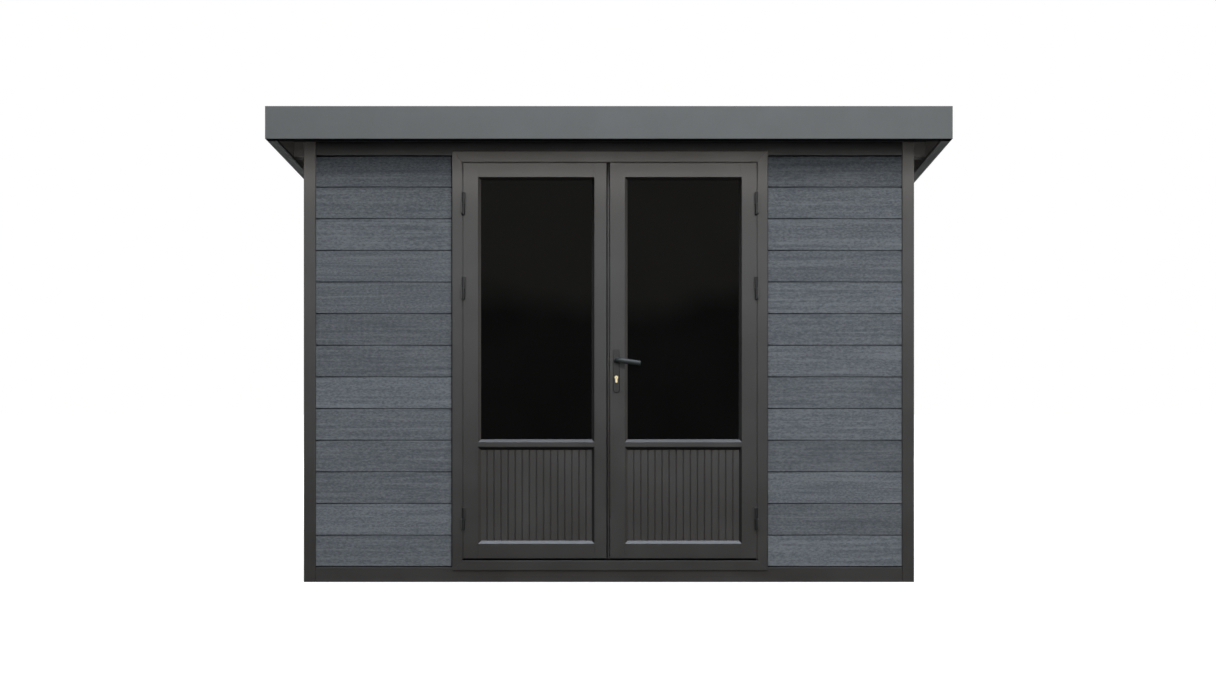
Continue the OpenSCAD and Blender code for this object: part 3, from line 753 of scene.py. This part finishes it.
def hinges():
    """Barrel hinges: a knuckle with the pin below and a capped one above, both with a groove."""
    lower = [(0, -53), (5.6, -53), (6.6, -52.4), (7.0, -51.2), (7.0, -4.2), (6.6, -3.8),
             (6.6, -3.2), (7.0, -2.8), (7.0, -1.0), (6.5, -0.5), (4.0, -0.5), (4.0, 50.5),
             (3.4, 51.3), (0, 51.3)]
    upper = [(0, 53), (6.0, 53), (6.8, 52.6), (7.0, 51.8), (7.0, 49.0), (6.6, 48.6), (6.6, 48.0),
             (7.0, 47.6), (7.0, 1.0), (6.5, 0.5), (4.3, 0.5), (4.3, 52.0), (0, 52.0)]
    names = {"shed": "frame_hinges", "left_door": "left_leaf_hinges",
             "right_door": "right_leaf_hinges"}
    barrels = {body: bmesh.new() for body in names}
    feet = {body: bmesh.new() for body in names}
    for side, x, y, z in hinge_places():
        leaf = "right_door" if side > 0 else "left_door"
        for body, profile, reach, foot, top in (("shed", lower, (4.5, 12.5), -46, -0.5),
                                                (leaf, upper, (-8, 0), 0.5, 52.5)):
            lathe(barrels[body], [(r * MM, h * MM) for r, h in profile], (x, y, z))
            ends = sorted(x + side * out * MM for out in reach)
            block(feet[body], (ends[0], y - 4 * MM, z + foot * MM),
                  (ends[1], y + 10 * MM, z + top * MM), 0.9 * MM)
    for body, name in names.items():
        add_piece(name + "_barrels", barrels[body], BLACK, body, [name])
        add_piece(name + "_feet", feet[body], FRAME, body)


hinges()


# ---- Lock and lever ----

def tube(bm, path, sections, steps=32):
    """A closed swept solid. sections gives (half height, half depth) at each path point."""
    rings = []
    for i, point in enumerate(path):
        ahead = path[min(i + 1, len(path) - 1)]
        behind = path[max(i - 1, 0)]
        along = (ahead - behind).normalized()
        up = Vector((0, 0, 1))
        up = (up - up.dot(along) * along).normalized()
        side = along.cross(up)
        high, deep = sections[i]
        rings.append([bm.verts.new(point + up * high * v + side * deep * u)
                      for u, v in circle(1, steps)])
    for a, b in zip(rings, rings[1:]):
        skin(bm, a, b)
    bm.faces.new(rings[0])
    bm.faces.new(rings[-1])


def lever_bar(bm, face_y, way):
    """One lever: a turned neck, a rounded elbow and a bar that droops and thins a little. Half
    heights and half depths are in mm."""
    neck, rise, bend, length, nose = 19 * MM, 2.2 * MM, 26 * MM, 84 * MM, 6.5 * MM
    neck_r, high, deep, end_high, end_deep = 8.9, 12.8, 9.5, 12.3, 8.8
    droop = math.radians(7.8)
    along = Vector((math.cos(droop), 0, -math.sin(droop)))
    path, sections = [], []
    for out in (0, 4 * MM, 8 * MM, 12 * MM, neck):
        path.append(Vector((LEVER_X, face_y + way * out, LEVER_Z + rise * out / neck)))
        sections.append((neck_r, neck_r))
    corner = path[-1]
    for k in range(1, 10):
        a, t = math.radians(10 * k), k / 9
        turn = along * (1 - math.cos(a)) + Vector((0, way * math.sin(a), 0))
        path.append(corner + turn * bend)
        sections.append((neck_r + (high - neck_r) * t, neck_r + (deep - neck_r) * t))
    start = path[-1]
    for k in range(1, 12):
        t = k / 11
        path.append(start + along * length * t)
        sections.append((high + (end_high - high) * t, deep + (end_deep - deep) * t))
    end = path[-1]
    for k in range(1, 9):
        a = math.radians(10 * k)
        path.append(end + along * nose * math.sin(a))
        shrink = math.cos(a) ** 0.45
        sections.append((end_high * shrink, end_deep * shrink))
    tube(bm, path, [(a * MM, b * MM) for a, b in sections])


def lever():
    """The outer and the inner lever on one spindle."""
    spindle = 5 * MM
    bm = bmesh.new()
    lever_bar(bm, LEAF_FRONT, -1)
    lever_bar(bm, LEAF_BACK, 1)
    profile = [(0, 0), (spindle, 0), (spindle, LEAF_BACK - LEAF_FRONT), (0, LEAF_BACK - LEAF_FRONT)]
    lathe(bm, profile, (LEVER_X, LEAF_BACK, LEVER_Z), axis="Y")
    add_piece("lever_bars", bm, LEVER, "lever", ["lever_handle"])


def plates():
    """Lock plates, a black rim behind each that paints the plate's shadow outline, and a black
    collar round each lever, made wide enough to paint the shadow under the neck too.
    """
    refined("lock_plates", 3.6 * MM, PLATE, 3)
    low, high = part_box("lock_plates")
    thick, shadow_reach, top_r = 8 * MM, 2.4 * MM, 4 * MM
    half = (high.x - low.x) / 2
    # The rim reaches past the plate, and its black paints the plate's shadow outline.
    outline = arc(LEVER_X, low.z + half, half + shadow_reach, 180, 360, 24)
    for centre, start in ((high.x - top_r, 0), (low.x + top_r, 90)):
        outline += arc(centre, high.z - top_r, top_r + 0.6 * MM, start, start + 90, 6)
    shadow_outlines, black_rings_and_shadow = bmesh.new(), bmesh.new()
    # The collar is black and wide enough to paint the shadow under the lever's neck as well.
    profile = [(9.5, -0.5), (13.4, -0.5), (13.4, 1.4), (13.0, 2.1), (12.3, 2.6), (9.9, 2.6),
               (9.5, 2.2)]
    for y, way in ((LEAF_FRONT, -1), (LEAF_BACK, 1)):
        prism(shadow_outlines, outline, y, y + way * 1.6 * MM, lambda u, v, t: (u, t, v))
        collar = [(r * MM, -way * h * MM) for r, h in profile]
        ring_lathe(black_rings_and_shadow, collar, (LEVER_X, y + way * thick, LEVER_Z))
    add_piece("plate_shadow_outlines", shadow_outlines, RUBBER, "right_door")
    add_piece("lever_black_rings_and_shadow", black_rings_and_shadow, BLACK, "right_door")


def cylinder():
    """The lock cylinder, on both sides with a dark line round its plug and a key slot."""
    refined("lock_cylinder", 0.7 * MM, BRASS)
    low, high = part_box("lock_cylinder")
    key_z = high.z - 8.5 * MM
    plug_ring = [(6.6, -0.4), (7.0, -0.4), (7.0, 0.12), (6.6, 0.12)]
    slot = [(-0.6, -4.2), (0.6, -4.2), (0.6, -1.2), (0.3, 0.2), (0.6, 1.6), (0.6, 3.8), (0.2, 4.3),
            (-0.2, 4.3), (-0.6, 3.8)]
    slot = [(LEVER_X + u * MM, key_z + v * MM) for u, v in slot]
    bm = bmesh.new()
    for y, way in ((low.y, 1), (high.y, -1)):
        ring_lathe(bm, [(r * MM, way * h * MM) for r, h in plug_ring], (LEVER_X, y, key_z))
        prism(bm, slot, y + way * 0.4 * MM, y - way * 0.12 * MM, lambda u, v, t: (u, t, v))
    add_piece("key_slots", bm, RUBBER, "right_door", smooth=False)


def plate_screws():
    """Two screws through the inner plate."""
    low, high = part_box("lock_plates")
    inset = 13 * MM
    profile = [(0, -0.5), (3.9, -0.5), (4.1, 0.2), (3.6, 0.9), (2.2, 1.4), (1.6, 1.0), (0, 0.7)]
    bm = bmesh.new()
    for z in (low.z + inset, high.z - inset):
        turned = [(r * MM, -h * MM) for r, h in profile]
        lathe(bm, turned, (LEVER_X, high.y, z), axis="Y", steps=20)
    add_piece("plate_screws", bm, STEEL, "right_door")


def latch():
    """The latch in the edge of the right leaf: a face plate and a bevelled bolt."""
    edge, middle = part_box("right_leaf_stiles")[0].x, (LEAF_FRONT + LEAF_BACK) / 2
    plate_z, tall, wide, bolt = LEVER_Z - 40 * MM, 116 * MM, 10 * MM, 16 * MM
    bm = bmesh.new()
    prism(bm, [(-wide, -tall), (wide, -tall), (wide, tall), (-wide, tall)],
          edge + 0.5 * MM, edge - 0.9 * MM, lambda u, v, t: (t, middle + u, plate_z + v))
    round_edges(bm, 0.35 * MM)
    fresh = bmesh.new()
    prism(fresh, [(-6 * MM, 0), (5 * MM, 0), (-6 * MM, -3.4 * MM)], LEVER_Z - bolt, LEVER_Z + bolt,
          lambda u, v, t: (edge - 0.5 * MM + v, middle - u, t))
    round_edges(fresh, 0.4 * MM)
    append(bm, fresh)
    add_piece("latch", bm, STEEL, "right_door")


LEVER_X, LEVER_Z = JOINTS[2]["pos_m"][0], JOINTS[2]["pos_m"][2]
LEAF_FRONT, LEAF_BACK = [corner.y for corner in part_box("right_leaf_stiles")]
for build in (lever, plates, cylinder, plate_screws, latch):
    build()


# ---- Stage, light and camera ----

def ray_switch(tree):
    """1 for camera, glossy and transmission rays, else 0."""
    path = node(tree, "ShaderNodeLightPath")
    seen = math_node(tree, "MAXIMUM", path.outputs["Is Camera Ray"], path.outputs["Is Glossy Ray"])
    return math_node(tree, "MAXIMUM", seen, path.outputs["Is Transmission Ray"])


def stage_plane(name, corners, material):
    """A plane that belongs to the stage and not to the part."""
    mesh = bpy.data.meshes.new(name)
    mesh.from_pydata(corners, [], [list(range(len(corners)))])
    mesh.materials.append(material)
    plane = bpy.data.objects.new(name, mesh)
    bpy.context.scene.collection.objects.link(plane)
    return plane


def level_corners(side, near, far, z):
    return [(-side, near, z), (side, near, z), (side, far, z), (-side, far, z)]


def upright_corners(a, b, top):
    """The corners of an upright rectangle over the line from a to b on the ground."""
    return [(*a, 0), (*b, 0), (*b, top), (*a, top)]


def floor_material():
    """White with the object's shadow where the camera or a reflection sees it, and dark to
    diffuse light."""
    material, tree = empty_material("stage_floor")
    far = node(tree, "ShaderNodeVectorMath", {0: object_place(tree)}, operation="LENGTH")
    level = remap(tree, far.outputs["Value"], 3.0, 9.0, 0.72, 1.0)
    lit = node(tree, "ShaderNodeBsdfDiffuse", {"Color": (0.5, 0.5, 0.5, 1)}).outputs[0]
    glow = node(tree, "ShaderNodeEmission", {"Color": (1, 1, 1, 1), "Strength": level}).outputs[0]
    white = node(tree, "ShaderNodeAddShader", {0: lit, 1: glow}).outputs[0]
    dark = node(tree, "ShaderNodeBsdfDiffuse", {"Color": (0.05, 0.05, 0.05, 1)}).outputs[0]
    both = node(tree, "ShaderNodeMixShader", {0: ray_switch(tree), 1: dark, 2: white}).outputs[0]
    node(tree, "ShaderNodeOutputMaterial", {"Surface": both})
    return material


def flag(name, corners, low, high, level=1.2, blur=0.8, waver=0.3):
    """A glowing plane that only reflections see. Its colour goes from low at the foot to high at
    the head, over an uneven line at a level that is soft by blur."""
    material, tree = empty_material(name)
    place = object_place(tree)
    height = node(tree, "ShaderNodeSeparateXYZ", {0: place}).outputs["Z"]
    wave = noise(tree, place, 0.55, 3.0, 0.55)
    edge = math_node(tree, "ADD", height, math_node(tree, "MULTIPLY", wave, -waver))
    colour = mix(tree, remap(tree, edge, level - blur, level + blur), (*low, 1), (*high, 1))
    glow = node(tree, "ShaderNodeEmission", {"Color": colour, "Strength": 1.0}).outputs[0]
    node(tree, "ShaderNodeOutputMaterial", {"Surface": glow})
    plane = stage_plane(name, corners, material)
    for ray in ("camera", "diffuse", "transmission", "shadow", "volume_scatter"):
        setattr(plane, "visible_" + ray, False)


NEAR, FAR, SIDE, HEAD = -9.6, 7, 7, 3.4
SKY = (7.8, 8.7, 10.3)
stage_plane("stage_floor", level_corners(40, -40, 40, -0.0005), floor_material())
flag("stage_flag", upright_corners((-9, NEAR), (9, NEAR), 3.6), (0.065, 0.065, 0.062),
     (0.2, 0.195, 0.18), 1.5, 0.18, 0.9)
flag("stage_cloth", level_corners(SIDE, NEAR, FAR, 0.001), (0.02, 0.02, 0.019),
     (0.03, 0.03, 0.028), 0.0, 0.4)
flag("stage_left", upright_corners((-SIDE, NEAR), (-SIDE, FAR), HEAD), (0.02, 0.02, 0.02),
     (0.06, 0.06, 0.06))
flag("stage_right", upright_corners((SIDE, NEAR), (SIDE, FAR), HEAD), (0.2, 0.2, 0.2),
     (0.6, 0.6, 0.6))
flag("stage_sky", [(-4, -5.0, 5.5), (4, -5.0, 5.5), (4, -2.4, 6.5), (-4, -2.4, 6.5)], SKY, SKY,
     0.0, 1.0, 0.0)


def area_light(name, place, aim, size, power, colour=(1, 1, 1), glossy=True):
    """A rectangular lamp that aims at a point. Reflections show it only where glossy is true."""
    data = bpy.data.lights.new(name, "AREA")
    data.shape = "RECTANGLE"
    data.size, data.size_y = size
    data.energy = power
    data.color = colour
    lamp = bpy.data.objects.new(name, data)
    lamp.location = place
    lamp.rotation_euler = (Vector(aim) - Vector(place)).to_track_quat("-Z", "Y").to_euler()
    lamp.visible_camera = False
    lamp.visible_glossy = glossy
    bpy.context.scene.collection.objects.link(lamp)
    return lamp


def linked(lamps, names, state="INCLUDE"):
    """Lights only the named pieces with the lamps, or with EXCLUDE all but them."""
    group = bpy.data.collections.new(lamps[0].name + "_pieces")
    for name in names:
        group.objects.link(bpy.data.objects[name])
    for entry in group.collection_objects:
        entry.light_linking.link_state = state
    for lamp in lamps:
        lamp.light_linking.receiver_collection = group


def finishes(*names):
    """The names of the refined pieces of CAD nodes."""
    return [name + "_finish" for name in names]


AIM, COOL = (0, -1.2, 1.2), (0.95, 0.975, 1)
BEADS = finishes("left_leaf_beads", "right_leaf_beads")
front = area_light("front", (2.2, -9.8, 2.9), AIM, (10, 3.4), 560, glossy=False)
front_sky = area_light("front_sky", (0.5, -8.6, 5.0), AIM, (12, 2.2), 320, (0.96, 0.98, 1))
linked([front, front_sky], BEADS, "EXCLUDE")
bead_key = area_light("bead_key", (5.6, -6.3, 6.2), (0, -1.2, 1.0), (2.0, 2.0), 1230, glossy=False)
bead_key.data.use_shadow = False
linked([bead_key], BEADS)
area_light("top_sky", (0.4, -1.4, 7.0), (0, 0, 1.0), (7, 4), 200, COOL, glossy=False)
area_light("back", (-1.0, 9.5, 3.2), (0, 1.2, 1.2), (9, 4), 700, glossy=False)
area_light("left", (-9.5, 0.8, 3.0), (-1.4, 0, 1.2), (8, 4), 480, glossy=False)
area_light("right", (9.5, 0.8, 3.0), (1.4, 0, 1.2), (8, 4), 560, glossy=False)

# Near the roof: light that reaches the metal under the eaves of the real shed.
eaves = area_light("under_eaves", (0, -1.32, 1.965), (0, -1.2, 1.965), (3.5, 0.05), 7.0,
                   glossy=False)
linked([eaves], finishes("post_front_left", "post_front_right", "door_jambs", "door_head",
                         "left_leaf_stiles", "left_leaf_rails", "right_leaf_stiles",
                         "right_leaf_rails"))
roof_edge = area_light("roof_edge", (0, -1.78, 2.015), (0, -1.2, 1.93), (3.6, 0.1), 3.6)
linked([roof_edge], finishes("top_rail_front", "outriggers", "roof_rails_side", "top_rails_side"))
roof_corner = area_light("roof_corner", (0, -3.2, 1.7), (0, -1.2, 2.05), (1.0, 0.4), 72,
                         glossy=False)
roof_corner.data.use_shadow = False
linked([roof_corner], finishes("outriggers", "roof_rails_side", "fascia_left", "fascia_right"))


def stage_world():
    """White to camera and reflections, cool and dim to diffuse light."""
    world = bpy.data.worlds.new("stage_world")
    bpy.context.scene.world = world
    world.use_nodes = True
    tree = world.node_tree
    tree.nodes.clear()
    dim = node(tree, "ShaderNodeBackground", {"Color": (*COOL, 1), "Strength": 0.32}).outputs[0]
    white = node(tree, "ShaderNodeBackground", {"Color": (1, 1, 1, 1), "Strength": 1.0}).outputs[0]
    both = node(tree, "ShaderNodeMixShader", {0: ray_switch(tree), 1: dim, 2: white}).outputs[0]
    node(tree, "ShaderNodeOutputWorld", {"Surface": both})


stage_world()

camera_data = bpy.data.cameras.new("camera")
camera_data.lens = 37.53
camera_data.sensor_width = 36
camera_data.shift_x = -0.01396
camera_data.shift_y = 0.03981
camera = bpy.data.objects.new("camera", camera_data)
camera.location = (0.076, -7.2, 0.907)
camera.rotation_euler = (math.radians(90), 0, 0)
bpy.context.scene.collection.objects.link(camera)
bpy.context.scene.camera = camera
bpy.context.scene.view_settings.view_transform = "Standard"
